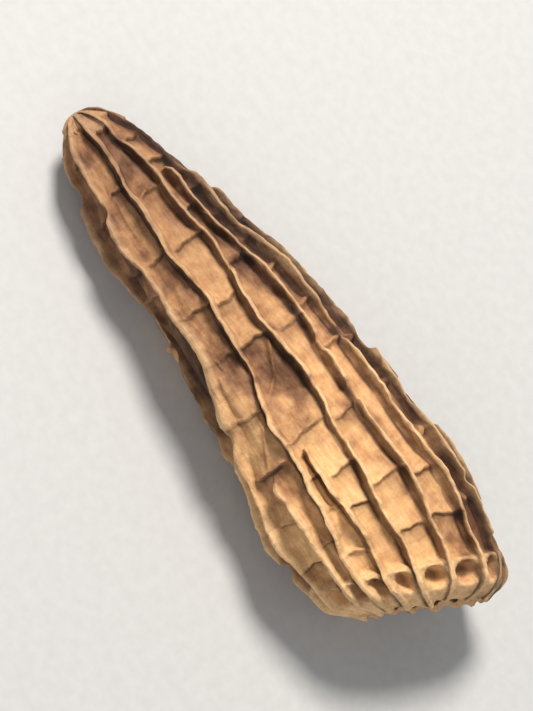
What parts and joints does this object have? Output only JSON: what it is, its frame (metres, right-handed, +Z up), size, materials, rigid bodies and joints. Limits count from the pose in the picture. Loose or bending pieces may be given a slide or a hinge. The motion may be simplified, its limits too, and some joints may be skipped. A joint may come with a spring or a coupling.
{
  "type": "dried morel mushroom cap",
  "caption": "Dried morel cap lying on its side: a long hollow cone with lengthwise ribs, low cross walls and pits, cut off at a slant at its open base.",
  "frame": {"origin": "on the floor under the middle of the cap's bounding box", "axes": "+X from the tip towards the cut base, +Z up out of the broad ribbed face, +Y to the side where the base reaches furthest"},
  "size_m": [0.0604, 0.0204, 0.0155],
  "materials": {
    "dried_flesh": "matte, dry, tan ribs over browner pits"
  },
  "bodies": {
    "root": {"morel_cap": "dried_flesh"}
  },
  "joints": []
}
